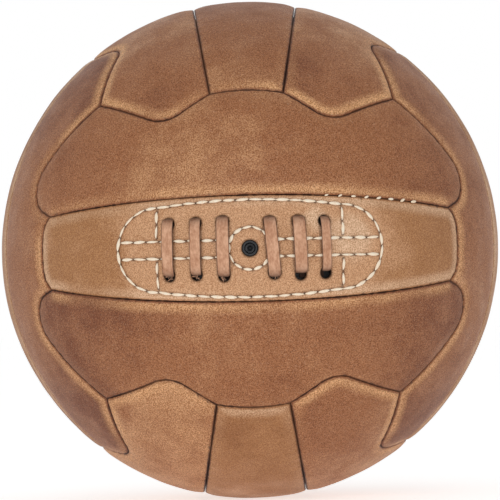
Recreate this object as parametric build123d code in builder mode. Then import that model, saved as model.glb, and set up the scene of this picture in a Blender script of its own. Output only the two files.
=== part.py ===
from build123d import *
from itertools import combinations
from math import atan2, copysign, cos, degrees, radians, sin, sqrt, tan
import os

# Leather medicine ball: eighteen sewn panels over felt and a thick rubber bladder, laced in front.
#
# Frame: origin at the ball's centre, +Z up, the laced band and its valve face -Y.
# Each of the six faces of the ball (front, back, left, right, top, bottom) is a band between two
# side strips.  The strips run along X on the front and back, along Z on the left and right, and
# along Y on the top and bottom, so the ends of each face meet the long side of its neighbour in a
# seam with two rounded cusps.  The laced face is a little longer than the other five.

os.makedirs("parts", exist_ok=True)

# ---------------------------------------------------------------- driving dimensions (mm, degrees)
ball_radius = 110.0
seam_gap = 0.4                  # between two sewn panels
fit_gap = 0.1                   # between layers that lie on each other

# leather panels
leather_thickness = 2.5
flange_depth = 4.7              # how far the sewn edges turn in, from the outer face
edge_round = 1.6
corner_round = 2.5
band_half_width = 22.6          # from the middle of a face to its strip seam
cusp_along = 19.4               # the cusps and joints of an end seam, as angles from the middle
cusp_across = 14.1              # of the edge between two faces
plain_bulge = 6.8               # how far a band's end reaches over the edge between two faces
laced_cusp_along = 12.8         # the same at the two ends of the laced face
laced_cusp_across = 19.2
laced_bulge = 10.1
joint_along = 8.3
joint_across = 7.3
cusp_round = 15.0
cusp_straight = 1.0             # least straight run between a cusp's round and its joint
sharp_corner = 5.0              # upright edges of a panel that turn by more than this are rounded

# felt and rubber
felt_thickness = 2.0
bladder_gap = 0.2
bladder_wall = 10.0

# laced window, measured over the leather from the valve
patch_thickness = 1.0
patch_half_length = 62.0
outline_half_length = 58.5
column_place = 40.3
outline_crown = 20.2
outline_shoulder = 17.6
row_place = 3.6
ring_radius = 8.9

# lace: where each bar crosses the middle, and how far it leans
lace_bars = ((-35.0, 0.0), (-23.0, 0.0), (-11.3, 0.0), (9.4, 4.5), (21.2, 2.0), (32.4, 1.0))
lace_half_span = 11.2           # from the middle of a bar to the hole that it dips into
lace_width = 5.2
lace_thickness = 1.1
lace_bend = 0.9
lace_run_width = 3.8
lace_tail = 9.0
lace_hole_radius = 2.8

# thread
stitch_pitch = 5.8
ring_stitch_pitch = 4.2
ring_stitch_length = 3.2
stitch_length = 4.4
stitch_width = 1.1
stitch_height = 0.6
stitch_gap = 0.05
closing_stitch_count = 8
closing_stitch_start = 17.5     # angle round the ball from the middle of the seam
closing_stitch_pitch = 6.1
closing_stitch_length = 1.9
closing_stitch_radius = 0.5

# valve
valve_radius = 3.45
valve_recess = 0.5
valve_clearance = 0.15
valve_depth = 24.0
valve_tube_radius = 5.5
valve_base_radius = 9.0
valve_base_thickness = 1.5
core_radius = 2.4
core_head_radius = 2.9
core_head_thickness = 1.2
core_gap = 0.05
needle_radius = 1.1
needle_depth = 6.0

# cutting tools
cut_margin = 1.0                # how far a cut starts outside what it cuts
template_length = 2.2           # half size of the seam templates, in ball radii
template_height = 1.3
end_overlap = 1.25              # how far a band's end arc is carried past its joints

# ---------------------------------------------------------------- radii of the layers
leather_inside = ball_radius - leather_thickness
flange_tip = ball_radius - flange_depth
felt_inset = seam_gap / 2 + leather_thickness + fit_gap
felt_outside = leather_inside - fit_gap
felt_inside = felt_outside - felt_thickness
patch_outside = leather_inside - fit_gap
patch_inside = patch_outside - patch_thickness
lace_run_outside = patch_inside - stitch_gap
lace_run_inside = lace_run_outside - lace_thickness
bladder_outside = min(flange_tip, felt_inside, lace_run_inside) - bladder_gap
bladder_inside = bladder_outside - bladder_wall
stitch_seat = ball_radius + stitch_gap
lace_seat = stitch_seat + stitch_height + stitch_gap
valve_face = ball_radius - valve_recess

front = Vector(0, -1, 0)
left = Vector(-1, 0, 0)
right = Vector(1, 0, 0)
top = Vector(0, 0, 1)
outward = Plane(origin=(0, 0, 0), x_dir=(1, 0, 0), z_dir=(0, -1, 0))


# ---------------------------------------------------------------- places on the ball
def edge_plane(long_face, end_face):
    """Plane touching the ball midway between two faces; its +Y points to the face named first."""
    middle = long_face + end_face
    across = long_face - end_face
    return Plane(origin=middle.normalized() * ball_radius, x_dir=across.cross(middle), z_dir=middle)


def flat(along, across):
    """Point on an edge plane, from two angles at the ball's centre."""
    return (ball_radius * tan(radians(along)), ball_radius * tan(radians(across)))


def opposite(point):
    return (-point[0], point[1])


def on_front(across, up, radius=ball_radius, turn=0.0):
    """Plane on the ball's front, given by lengths over the leather; +X runs sideways, +Z outward."""
    longitude = across / ball_radius
    latitude = up / ball_radius
    out = Vector(sin(longitude) * cos(latitude), -cos(longitude) * cos(latitude), sin(latitude))
    sideways = Vector(cos(longitude), sin(longitude), 0).rotate(Axis((0, 0, 0), tuple(out)), turn)
    return Plane(origin=out * radius, x_dir=sideways, z_dir=out)


# ---------------------------------------------------------------- seams
corner = flat(degrees(atan2(1, sqrt(2))), 0)
joint = flat(joint_along, joint_across)
plain_seam = (flat(cusp_along, cusp_across), flat(0, plain_bulge))
laced_seam = (flat(laced_cusp_along, laced_cusp_across), flat(0, laced_bulge))
reach = template_length * ball_radius
head = (reach, template_height * ball_radius)

joint_on_ball = edge_plane(left, front).from_local_coords(Vector(*joint, 0)).normalized() * ball_radius
seam_crown = Vector(0, -sqrt(ball_radius**2 - band_half_width**2), band_half_width)
seam_slope = Vector(0, -abs(joint_on_ball.Y), abs(joint_on_ball.Z)) - seam_crown
seam_up = Vector(1, 0, 0).cross(seam_slope)
seam_up = seam_up if seam_up.Z > 0 else seam_up * -1
upper_seam = Plane(origin=seam_crown, x_dir=(1, 0, 0), z_dir=seam_up)
lower_seam = Plane(origin=(0, seam_crown.Y, -seam_crown.Z), x_dir=(1, 0, 0), z_dir=(0, seam_up.Y, -seam_up.Z))


def cusp_radius(seam):
    """The round of a seam's cusps, limited by the wall between cusp and joint less the felt's inset."""
    cusp, crown = seam
    wall = Vector(*cusp) - Vector(*joint)
    half_turn = radians(180 - (Vector(*corner) - Vector(*cusp)).get_angle(wall * -1)) / 2
    arc_angle = 2 * atan2(crown[1] - joint[1], joint[0])
    joint_angle = radians(wall.get_angle(Vector(-cos(arc_angle), sin(arc_angle))))
    straight = wall.length - felt_inset / tan(joint_angle / 2) - cusp_straight
    return min(cusp_round, straight / tan(half_turn))


def seam_wedge(long_face, end_face, seam, inset):
    """Everything on the long face's side of a cusped seam, drawn in from the seam by the inset."""
    cusp, crown = seam
    foot = (reach, -cusp[1] * (reach - corner[0]) / (corner[0] - cusp[0]))
    with BuildPart() as wedge:
        with BuildSketch(edge_plane(long_face, end_face)) as outline:
            with BuildLine():
                FilletPolyline(foot, cusp, joint, radius=cusp_radius(seam))
                ThreePointArc(joint, crown, opposite(joint))
                FilletPolyline(opposite(joint), opposite(cusp), opposite(foot), radius=cusp_radius(seam))
                Polyline(opposite(foot), opposite(head), head, foot)
            make_face()
            offset(amount=-inset, kind=Kind.INTERSECTION, mode=Mode.REPLACE)
        loft(sections=[outline.sketch.face(), Vertex(0, 0, 0)], ruled=True)
    return wedge.part


def end_wedge(side, seam, inset):
    """Everything beyond a band's end, whose arc is carried past the two joints."""
    crown = seam[1][1]
    rise = crown - joint[1]
    arc_radius = (joint[0] ** 2 + rise**2) / (2 * rise)
    inset_radius = arc_radius - inset
    past = end_overlap * joint[0]
    past_end = (past, crown - arc_radius + copysign(sqrt(inset_radius**2 - past**2), inset_radius))
    with BuildPart() as wedge:
        with BuildSketch(edge_plane(side, front)) as outline:
            with BuildLine():
                ThreePointArc(past_end, (0, crown - inset), opposite(past_end))
                Polyline(opposite(past_end), (-past, head[1]), (past, head[1]), past_end)
            make_face()
        loft(sections=[outline.sketch.face(), Vertex(0, 0, 0)], ruled=True)
    return wedge.part


def side_strip(outer, inner, inset, long_side=plain_seam, ends=plain_seam):
    """One layer of the front's upper side strip; its long side is the cusped seam to the top."""
    with BuildPart() as layer:
        Sphere(outer)
        Sphere(inner, mode=Mode.SUBTRACT)
        add(seam_wedge(front, top, long_side, inset), mode=Mode.INTERSECT)
        for side in (left, right):
            add(seam_wedge(side, front, ends, -inset), mode=Mode.SUBTRACT)
        split(bisect_by=upper_seam.offset(inset), keep=Keep.TOP)
    return layer.part


def middle_band(outer, inner, inset, ends=plain_seam):
    """One layer of the front's middle band."""
    with BuildPart() as layer:
        Sphere(outer)
        Sphere(inner, mode=Mode.SUBTRACT)
        split(bisect_by=Plane.XZ, keep=Keep.TOP)
        split(bisect_by=upper_seam.offset(-inset), keep=Keep.BOTTOM)
        split(bisect_by=lower_seam.offset(-inset), keep=Keep.BOTTOM)
        for side in (left, right):
            add(end_wedge(side, ends, inset), mode=Mode.SUBTRACT)
    return layer.part


def wall_corners(panel):
    """The upright edges where two walls of a panel meet at an angle."""
    walls = [face for face in panel.faces() if face.geom_type != GeomType.SPHERE]
    for one, other in combinations(walls, 2):
        for edge in one.edges():
            if edge in other.edges():
                turn = one.normal_at(edge @ 0.5).get_angle(other.normal_at(edge @ 0.5))
                if turn > sharp_corner:
                    yield edge


def leather(layer, **seams):
    """A panel: rounded corners, a rolled rim, and edges turned in as flanges round a shallow cup."""
    with BuildPart() as panel:
        add(layer(ball_radius, flange_tip, seam_gap / 2, **seams))
        fillet(list(wall_corners(panel)), corner_round)
        fillet(panel.faces().filter_by(GeomType.SPHERE).sort_by(SortBy.AREA)[-1].edges(), edge_round)
        cup = layer(leather_inside, flange_tip - cut_margin, seam_gap / 2 + leather_thickness, **seams)
        add(cup, mode=Mode.SUBTRACT)
    return panel.part


def felt(layer, **seams):
    return layer(felt_outside, felt_inside, felt_inset, **seams)


# ---------------------------------------------------------------- the six faces
# A third of a turn about the diagonal carries the front to the left and the left to the bottom.
face_cycle = (("front", "back"), ("left", "right"), ("bottom", "top"))
strip_names = {
    "front": ("upper", "lower"),
    "back": ("upper", "lower"),
    "left": ("rear", "front"),
    "right": ("rear", "front"),
    "bottom": ("right", "left"),
    "top": ("right", "left"),
}


def turned(piece, face, low_side=False):
    """A piece of the front's upper half, carried to the same place on another face."""
    piece = piece.rotate(Axis.Y, 180) if low_side else piece
    for step, pair in enumerate(face_cycle):
        if face in pair:
            piece = piece.rotate(Axis.Z, 180) if face == pair[1] else piece
            return piece.rotate(Axis((0, 0, 0), (1, 1, 1)), -120 * step)


def keep(piece, name):
    piece.label = name
    export_step(piece, f"parts/{name}.step")


def seams_of(face, side):
    """The seams of a side strip that follow the laced face: its ends there, or its long side."""
    if face == "front":
        return {"ends": laced_seam}
    if face in ("left", "right") and side == "front":
        return {"long_side": laced_seam}
    return {}


patterns = {}
for face, sides in strip_names.items():
    for side in sides:
        seams = seams_of(face, side)
        pattern = tuple(seams)
        if pattern not in patterns:
            patterns[pattern] = leather(side_strip, **seams), felt(side_strip, **seams)
        strip, lining = patterns[pattern]
        keep(turned(strip, face, side == sides[1]), f"panel_{face}_{side}")
        keep(turned(lining, face, side == sides[1]), f"felt_{face}_{side}")

plain_band = leather(middle_band)
band_felt = felt(middle_band)
for face in strip_names:
    if face != "front":
        keep(turned(plain_band, face), f"panel_{face}_band")
        keep(turned(band_felt, face), f"felt_{face}_band")


# ---------------------------------------------------------------- laced band and what lies behind it
def bar_end(across, lean, end):
    """Place on the ball where a bar of the lace dips in; end is 1 at its top and -1 at its bottom."""
    middle = on_front(across, 0, turn=lean)
    angle = -end * degrees(lace_half_span / ball_radius)
    out = middle.z_dir.rotate(Axis((0, 0, 0), tuple(middle.x_dir)), angle)
    return Plane(origin=out * ball_radius, x_dir=middle.x_dir, z_dir=out)


lace_holes = [bar_end(across, lean, end) for across, lean in lace_bars for end in (1, -1)]
valve_hole = [on_front(0, 0)]


def punched(piece, places, radius):
    with BuildPart() as result:
        add(piece)
        with BuildSketch(*[place.offset(cut_margin) for place in places]):
            Circle(radius)
        extrude(amount=-(flange_depth + leather_thickness), mode=Mode.SUBTRACT)
    return result.part


laced_band = punched(leather(middle_band, ends=laced_seam), lace_holes, lace_hole_radius)
keep(punched(laced_band, valve_hole, valve_radius + valve_clearance), "panel_front_band")

# The backing patch is stitched flat behind the window; felt fills the band's two ends.
patch_angle = degrees(patch_half_length / ball_radius)
left_cut = Plane(origin=(0, 0, 0), x_dir=(0, 0, 1), z_dir=(1, 0, 0)).rotated((0, 0, -patch_angle))
right_cut = Plane(origin=(0, 0, 0), x_dir=(0, 0, 1), z_dir=(-1, 0, 0)).rotated((0, 0, patch_angle))
patch = middle_band(patch_outside, patch_inside, felt_inset, laced_seam)
patch = split(patch, bisect_by=left_cut, keep=Keep.TOP)
patch = split(patch, bisect_by=right_cut, keep=Keep.TOP)
patch = punched(patch, lace_holes, lace_hole_radius)
keep(punched(patch, valve_hole, valve_radius + valve_clearance), "backing_patch")

end_felt = middle_band(felt_outside, felt_inside, felt_inset, laced_seam)
keep(split(end_felt, bisect_by=left_cut.offset(-fit_gap), keep=Keep.BOTTOM), "felt_front_band_left")
keep(split(end_felt, bisect_by=right_cut.offset(-fit_gap), keep=Keep.BOTTOM), "felt_front_band_right")


# ---------------------------------------------------------------- lace
def polar(radius, angle):
    return (radius * sin(angle), radius * cos(angle))


def lace_bar(across, lean):
    """A strap over the leather whose two ends turn down through their holes, as a wide staple."""
    middle = on_front(across, 0, turn=lean)
    side_view = Plane(origin=(0, 0, 0), x_dir=middle.y_dir, z_dir=middle.x_dir)
    leg = lace_half_span / ball_radius
    half = lace_thickness / 2 / ball_radius
    over = lace_seat + lace_thickness
    leg_foot = (lace_run_inside + lace_run_outside) / 2
    with BuildPart() as bar:
        with BuildSketch(side_view) as profile:
            with BuildLine():
                ThreePointArc(polar(over, -leg - half), polar(over, 0), polar(over, leg + half))
                Polyline(polar(over, leg + half), polar(leg_foot, leg + half),
                         polar(leg_foot, leg - half), polar(lace_seat, leg - half))
                ThreePointArc(polar(lace_seat, leg - half), polar(lace_seat, 0), polar(lace_seat, half - leg))
                Polyline(polar(lace_seat, half - leg), polar(leg_foot, half - leg),
                         polar(leg_foot, -leg - half), polar(over, -leg - half))
            make_face()
            shoulders = profile.vertices().group_by(SortBy.DISTANCE)[-1]
            fillet(shoulders, lace_bend + lace_thickness / 2)
        extrude(amount=lace_width / 2, both=True)
    return bar.part


def lace_run(first, last):
    """The lace lying flat behind the patch, from one hole to the next."""
    middle = (first + last) * 0.5
    along = last - first
    with BuildPart() as run:
        with BuildSketch(Plane(origin=middle, x_dir=along, z_dir=middle)):
            Rectangle(along.length + lace_width, lace_run_width)
        extrude(amount=2 * (ball_radius - lace_run_inside), both=True)
        add(lace_layer, mode=Mode.INTERSECT)
    return run.part


with BuildPart() as lace_layer_part:
    Sphere(lace_run_outside)
    Sphere(lace_run_inside, mode=Mode.SUBTRACT)
lace_layer = lace_layer_part.part

# The lace winds to and fro: down one bar, along behind the patch, and up the next.
hole_pairs = [(lace_holes[2 * n].origin, lace_holes[2 * n + 1].origin) for n in range(len(lace_bars))]
sideways = Vector(lace_tail, 0, 0)
with BuildPart() as lace:
    for across, lean in lace_bars:
        add(lace_bar(across, lean))
    for n in range(len(lace_bars) - 1):
        row = (n + 1) % 2
        add(lace_run(hole_pairs[n][row], hole_pairs[n + 1][row]))
    add(lace_run(hole_pairs[0][0] - sideways, hole_pairs[0][0]))
    add(lace_run(hole_pairs[-1][0], hole_pairs[-1][0] + sideways))
keep(lace.part, "lace")


# ---------------------------------------------------------------- thread
def stitches(line, pitch):
    """Planes for even stitches along a line drawn on the flat leather."""
    count = max(1, round(line.length / pitch))
    for n in range(count):
        place = line.position_at((n + 0.5) / count)
        way = line.tangent_at((n + 0.5) / count)
        yield on_front(place.X, place.Y, stitch_seat, degrees(atan2(way.Y, way.X)))


def thread(lines, pitch, length):
    """The visible stitches of one row of sewing, each a flat lens lying on the leather."""
    places = [place for line in lines for place in stitches(line, pitch)]
    tip = length / 2
    side = length / 4
    with BuildPart() as row:
        with BuildSketch(*places):
            Polygon((-tip, 0), (-side, -stitch_width / 2), (side, -stitch_width / 2),
                    (tip, 0), (side, stitch_width / 2), (-side, stitch_width / 2))
        extrude(amount=stitch_height)
    return row.part


shoulder = (column_place, outline_shoulder)
low_shoulder = (column_place, -outline_shoulder)
outline_lines = [
    ThreePointArc(opposite(shoulder), (0, outline_crown), shoulder),
    ThreePointArc(shoulder, (outline_half_length, 0), low_shoulder),
    ThreePointArc(low_shoulder, (0, -outline_crown), opposite(low_shoulder)),
    ThreePointArc(opposite(low_shoulder), (-outline_half_length, 0), opposite(shoulder)),
]
row_start = sqrt(ring_radius**2 - row_place**2) + stitch_width
row_end = outline_half_length - stitch_width
column_start = row_place + stitch_width
column_end = outline_shoulder - stitch_width
row_lines = []
column_lines = []
for across in (1, -1):
    for up in (1, -1):
        row_lines.append(Line((across * row_start, up * row_place), (across * row_end, up * row_place)))
        column_lines.append(Line((across * column_place, up * column_start),
                                 (across * column_place, up * column_end)))
keep(thread(outline_lines, stitch_pitch, stitch_length), "outline_stitching")
keep(thread(row_lines, stitch_pitch, stitch_length), "row_stitching")
keep(thread(column_lines, stitch_pitch, stitch_length), "column_stitching")
ring_line = CenterArc((0, 0), ring_radius, 0, 360)
keep(thread([ring_line], ring_stitch_pitch, ring_stitch_length), "valve_ring_stitching")

# The last seam was closed from outside: its stitches lie in the valley between two rolled edges.
def roll_centre(side):
    """Centre of a rolled edge beside the seam, as its distances from the ball's middle."""
    up = seam_height + side * (seam_gap / 2 + edge_round)
    return Vector(sqrt((ball_radius - edge_round) ** 2 - up**2), up)


seam_height = upper_seam.origin.dot(upper_seam.z_dir)
edge_pair = (roll_centre(1) + roll_centre(-1)) * 0.5
edge_way = roll_centre(1) - roll_centre(-1)
valley_rise = sqrt((edge_round + closing_stitch_radius + stitch_gap) ** 2 - (edge_way.length / 2) ** 2)
valley = edge_pair + Vector(edge_way.Y, -edge_way.X).normalized() * valley_rise
with BuildPart() as closing_stitches:
    for n in range(closing_stitch_count):
        swing = closing_stitch_start + degrees(n * closing_stitch_pitch / ball_radius)
        out = Vector(upper_seam.x_dir.cross(upper_seam.z_dir)).rotate(
            Axis((0, 0, 0), tuple(upper_seam.z_dir)), swing)
        middle = out * valley.X + upper_seam.z_dir * valley.Y
        way = upper_seam.z_dir.cross(out)
        with BuildSketch(Plane(origin=middle, x_dir=out, z_dir=way).offset(-closing_stitch_length / 2)):
            Circle(closing_stitch_radius)
        extrude(amount=closing_stitch_length)
keep(closing_stitches.part, "closing_stitches")


# ---------------------------------------------------------------- bladder and valve
valve_axis = Axis((0, 0, 0), (0, -1, 0))
valve_section = Plane(origin=(0, 0, 0), x_dir=(1, 0, 0), z_dir=(0, 0, -1))
base_top = sqrt(bladder_outside**2 - valve_base_radius**2)
base_bottom = base_top - valve_base_thickness
tube_end = valve_face - valve_depth
core_bore = core_radius + core_gap
head_bore = core_head_radius + core_gap
head_seat = valve_face - core_head_thickness

with BuildPart() as bladder:
    Sphere(bladder_outside)
    Sphere(bladder_inside, mode=Mode.SUBTRACT)
    with BuildSketch(outward.offset(base_bottom - core_gap)):
        Circle(valve_base_radius + core_gap)
    extrude(until=Until.LAST, mode=Mode.SUBTRACT)
    with BuildSketch(outward):
        Circle(valve_tube_radius + core_gap)
    extrude(amount=ball_radius, mode=Mode.SUBTRACT)
keep(bladder.part, "bladder")

with BuildPart() as valve_housing:
    with BuildSketch(valve_section):
        with BuildLine():
            Polyline((head_bore, valve_face), (valve_radius, valve_face), (valve_radius, base_top),
                     (valve_base_radius, base_top), (valve_base_radius, base_bottom),
                     (valve_tube_radius, base_bottom), (valve_tube_radius, tube_end),
                     (core_bore, tube_end), (core_bore, head_seat), (head_bore, head_seat),
                     (head_bore, valve_face))
        make_face()
    revolve(axis=valve_axis)
keep(valve_housing.part, "valve_housing")

with BuildPart() as valve_core:
    with BuildSketch(valve_section):
        with BuildLine():
            Polyline((0, valve_face - needle_depth), (needle_radius, valve_face - needle_depth),
                     (needle_radius, valve_face), (core_head_radius, valve_face),
                     (core_head_radius, head_seat + core_gap), (core_radius, head_seat + core_gap),
                     (core_radius, tube_end), (0, tube_end), (0, valve_face - needle_depth))
        make_face()
    revolve(axis=valve_axis)
keep(valve_core.part, "valve_core")
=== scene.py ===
"""Leather medicine ball: eighteen sewn panels, a laced and stitched window, and a rubber valve.

Metres, +Z up, origin at the ball's centre; the laced band runs along X and its valve faces -Y.
Each face of the ball (front, back, left, right, top, bottom) is a band between two side strips.
"""

from collections import namedtuple
from math import atan2, copysign, cos, exp, hypot, pi, radians, sin, sqrt, tan

import bmesh
import bpy
from mathutils import Matrix, Vector, noise
from mathutils.kdtree import KDTree


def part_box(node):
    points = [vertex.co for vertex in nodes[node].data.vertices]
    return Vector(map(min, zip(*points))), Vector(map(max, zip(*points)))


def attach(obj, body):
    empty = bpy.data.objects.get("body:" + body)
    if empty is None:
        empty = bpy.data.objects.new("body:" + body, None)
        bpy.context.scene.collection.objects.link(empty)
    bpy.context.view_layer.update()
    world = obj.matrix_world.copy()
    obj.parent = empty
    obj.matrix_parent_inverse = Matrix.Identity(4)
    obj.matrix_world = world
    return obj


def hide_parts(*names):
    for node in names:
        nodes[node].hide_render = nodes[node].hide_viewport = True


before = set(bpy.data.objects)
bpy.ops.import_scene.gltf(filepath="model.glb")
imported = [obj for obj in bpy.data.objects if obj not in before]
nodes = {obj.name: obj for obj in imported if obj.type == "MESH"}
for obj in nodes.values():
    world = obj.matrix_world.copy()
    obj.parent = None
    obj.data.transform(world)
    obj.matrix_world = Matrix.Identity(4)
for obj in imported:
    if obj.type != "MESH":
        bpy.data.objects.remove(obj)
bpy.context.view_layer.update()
scene = bpy.context.scene
mm = 0.001

# ---- sizes
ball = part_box("panel_top_band")[1].z

# seams between two faces: angles of the cusps and of the crown from the middle of the edge,
# and how square the band's end is; the laced face has fuller ends than the other five
plain_seam = {"cusp": (19.4, 14.1), "crown": 6.8, "squareness": 2.2}
laced_seam = {"cusp": (12.8, 19.2), "crown": 9.8, "squareness": 4.5}
joint_angles = (8.3, 7.3)
cusp_round = 15.0 * mm / ball
band_half_width = 22.6 * mm / ball
seam_stitch_pitch = 5.2 * mm
closing_count = 8

# leather
leather_thickness = 1.3 * mm
flange_depth = 3.4 * mm
seam_slack = 0.12 * mm  # between a panel's rim and the seam's middle
lip_depth = 2.0 * mm  # of the leather round a hole

# cells of the leather: on a panel, on the laced band, and beside a seam within its border
panel_cell, laced_cell, seam_cell, seam_border = 1.0 * mm, 0.52 * mm, 0.42 * mm, 4.0 * mm

# relief of the leather in millimetres: how deep, how far it reaches, and the fall-off if unusual
seam_crease = (0.66, 0.4, 1.2)
seam_slope = (0.6, 3.2)
seam_pucker = (0.19, 2.8, 1)
pucker_start = (1.0, 0.5, 1)
sewing_furrow = (0.24, 1.1)
stitch_hole = (0.28, 0.6)
opening_edge = (0.5, 0.55, 1.4)
opening_roll = (0.16, 0.9)
opening_roll_place = 1.2
opening_reach = 5

# dark marks in the leather, in the same way: how dark, their reach and fall-off
# the pricks are marks of the hidden stitches; the rest are painted shade round the thread and the
# holes, and painted shadow beside the lace's bars
prick_stain = (0.8, 0.45)
prick_place = 0.7
sewing_shade = (0.26, 0.95)
stitch_hole_shade = (0.8, 0.55)
opening_shade = (0.7, 0.35, 1.2)
bar_shadow = (0.55, 0.5)

# dents and creases of the whole leather: how many to the ball's radius, and millimetres high
slow_dents = (2.6, 0.34)
small_dents = (6.5, 0.16)
fine_creases = (9.0, 0.05)
dents_grow_over = 6.0 * mm  # from a seam inwards

# laced window, measured over the leather from the valve
outline_half_length = 58.5 * mm
outline_crown = 20.6 * mm
outline_shoulder = 17.8 * mm
column_place = 40.3 * mm
column_gap = 0.9 * mm  # between a column of stitches and the rows it meets
row_place = 3.6 * mm
row_gaps = (0.8 * mm, 1.2 * mm)  # from the valve's ring and from the outline
ring_radius = 8.9 * mm
valve_hole = 3.5 * mm
window_reach = 8.0 * mm  # past the outline's ends
# painted highlight over the middle of the window, fading in from pale_start to pale_end, and pale
# spots (across, up, radius): a paler patch near its right end and a painted sheen near the tops of
# the last two bars
pale_start, pale_end = 4.0 * mm, -16.0 * mm  # past the same ends
window_highlight = 0.34
pale_and_sheen_spots = ((46.0 * mm, 3.0 * mm, 12.0 * mm), (28.5 * mm, 12.5 * mm, 5.0 * mm))

# thread: pitch and length of each kind of stitch, and the shape of one
long_stitch = (5.8 * mm, 5.3 * mm)
column_stitch = (5.6 * mm, 5.0 * mm)
ring_stitch = (4.2 * mm, 4.0 * mm)
stitch_half_width, stitch_half_height = 0.65 * mm, 0.42 * mm
stitch_rise, stitch_dip = 0.14 * mm, 0.36 * mm
closing_half_sizes = (0.46 * mm, 0.4 * mm, 1.1 * mm)  # width, height, length
closing_depth = 0.25 * mm
closing_margins = (1.0 * mm, 0.8 * mm)  # before the first and after the last

# lace, in millimetres and degrees: where each bar crosses the middle, its lean, its width, its
# upper and lower holes, and the heights at which the strap dips into them
Bar = namedtuple("Bar", "across lean width high_hole low_hole high low")
lace_bars = [Bar(across * mm, lean, *[size * mm for size in sizes]) for across, lean, *sizes in (
    (-35.0, 0.0, 4.9, 10.9, -11.0, 12.9, -10.9),
    (-23.0, 0.0, 4.6, 11.1, -10.8, 12.9, -10.6),
    (-11.3, 0.5, 5.3, 11.6, -11.5, 13.5, -11.4),
    (9.4, 4.5, 5.3, 11.1, -10.9, 13.0, -11.9),
    (21.2, 2.0, 5.5, 11.1, -11.5, 13.1, -10.5),
    (32.4, 1.0, 4.0, 10.9, -11.1, 12.6, -9.9),
)]
lace_thickness = 1.1 * mm
lace_hole = 2.5 * mm
lace_run_depth = 4.2 * mm  # the stretches behind the leather
lace_run_width = 3.6 * mm
lace_run_thickness = 0.9 * lace_thickness
frayed_up_to = 15.0 * mm  # the bars from the left to here are frayed below
fibre_count = 9
fibre_half_sizes = (0.2 * mm, 0.18 * mm, 0.95 * mm)  # width, height, length
fibre_depth = 0.35 * mm
tuft_spread, tuft_height, tuft_below = 1.2 * mm, 0.375 * mm, 0.7 * mm

# valve: outlines of its two pieces, as radius and height over the face, in millimetres
valve_recess = 0.45 * mm
ring_outline = (
    (3.42, -4.5), (3.42, -0.9), (3.38, -0.5), (3.22, -0.2), (2.95, -0.04), (2.65, 0.0),
    (2.4, -0.1), (2.28, -0.3), (2.25, -0.6), (2.25, -4.5), (3.42, -4.5),
)
plug_outline = (
    (0.0, -3.2), (0.7, -3.2), (0.78, -2.1), (1.0, -1.75), (1.4, -1.5), (1.8, -1.4),
    (2.05, -1.45), (2.18, -1.6), (2.18, -4.4), (0.0, -4.4),
)

front, top = Vector((0, -1, 0)), Vector((0, 0, 1))
left, right = Vector((-1, 0, 0)), Vector((1, 0, 0))


def clamp(value, low=0.0, high=1.0):
    """The value, kept between low and high."""
    return min(max(value, low), high)


def soft_step(low, high, value):
    """Goes softly from 0 to 1 while the value goes from low to high."""
    share = clamp((value - low) / (high - low))
    return share * share * (3 - 2 * share)


def fade(distance, strength, reach, power=2):
    """A strength that falls off with distance; the reach is in the distance's unit."""
    return strength * exp(-((distance / reach) ** power))


# ---- places on the ball
def on_front(across, up, height=0.0):
    """Point on the front of the ball, from lengths over the leather and a height above it."""
    longitude, latitude = across / ball, up / ball
    out = Vector((sin(longitude) * cos(latitude), -cos(longitude) * cos(latitude), sin(latitude)))
    return out * (ball + height)


def front_turn(across, up):
    """Turn that carries X, Y and Z to sideways, upwards and outwards at a place on the front."""
    out = on_front(across, up).normalized()
    sideways = Vector((cos(across / ball), sin(across / ball), 0))
    return Matrix((sideways, out.cross(sideways), out)).transposed()


def unrolled(point):
    """Lengths over the leather of a point near the front: the reverse of on_front."""
    out = point.normalized()
    return ball * atan2(out.x, -out.y), ball * atan2(out.z, hypot(out.x, out.y))


# ---- seams
def even(line, count):
    """The same line on the ball with its points at equal steps."""
    lengths = [0.0]
    for one, other in zip(line, line[1:]):
        lengths.append(lengths[-1] + (other - one).length)
    points = []
    at = 0
    for n in range(count + 1):
        goal = lengths[-1] * n / count
        while at < len(line) - 2 and lengths[at + 1] < goal:
            at += 1
        share = (goal - lengths[at]) / max(lengths[at + 1] - lengths[at], 1e-12)
        points.append(line[at].lerp(line[at + 1], clamp(share)).normalized())
    return points


def arc(one, middle, other, count=24):
    """Points of the arc through three points of a plane."""
    ax, ay, bx, by = middle[0] - one[0], middle[1] - one[1], other[0] - one[0], other[1] - one[1]
    cross = 2 * (ax * by - ay * bx)
    if abs(cross) < 1e-9:
        return [(one[0] + bx * n / count, one[1] + by * n / count) for n in range(count + 1)]
    cx = (by * (ax * ax + ay * ay) - ay * (bx * bx + by * by)) / cross
    cy = (ax * (bx * bx + by * by) - bx * (ax * ax + ay * ay)) / cross
    start = atan2(-cy, -cx)
    halfway = (atan2(ay - cy, ax - cx) - start) % (2 * pi)
    sweep = (atan2(by - cy, bx - cx) - start) % (2 * pi)
    if halfway > sweep:
        sweep -= 2 * pi
    radius = hypot(cx, cy)
    turns = [start + sweep * n / count for n in range(count + 1)]
    return [(one[0] + cx + radius * cos(t), one[1] + cy + radius * sin(t)) for t in turns]


def on_edge(along, across):
    """Point of the plane touching the ball at an edge between faces, from two angles."""
    return tan(radians(along)), tan(radians(across))


def half_seam(seam):
    """The cusped seam from a corner of the ball to a joint, on the plane touching its edge."""
    corner = Vector((sqrt(0.5), 0))
    cusp = Vector(on_edge(*seam["cusp"]))
    joint = Vector(on_edge(*joint_angles))
    inward, onward = (corner - cusp).normalized(), (joint - cusp).normalized()
    bend = inward.angle(onward)
    reach = cusp_round / tan(bend / 2)
    middle = cusp + (inward + onward).normalized() * (cusp_round / sin(bend / 2) - cusp_round)
    rounded = arc(cusp + inward * reach, middle, cusp + onward * reach)
    return [tuple(corner), *rounded, tuple(joint)]


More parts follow.
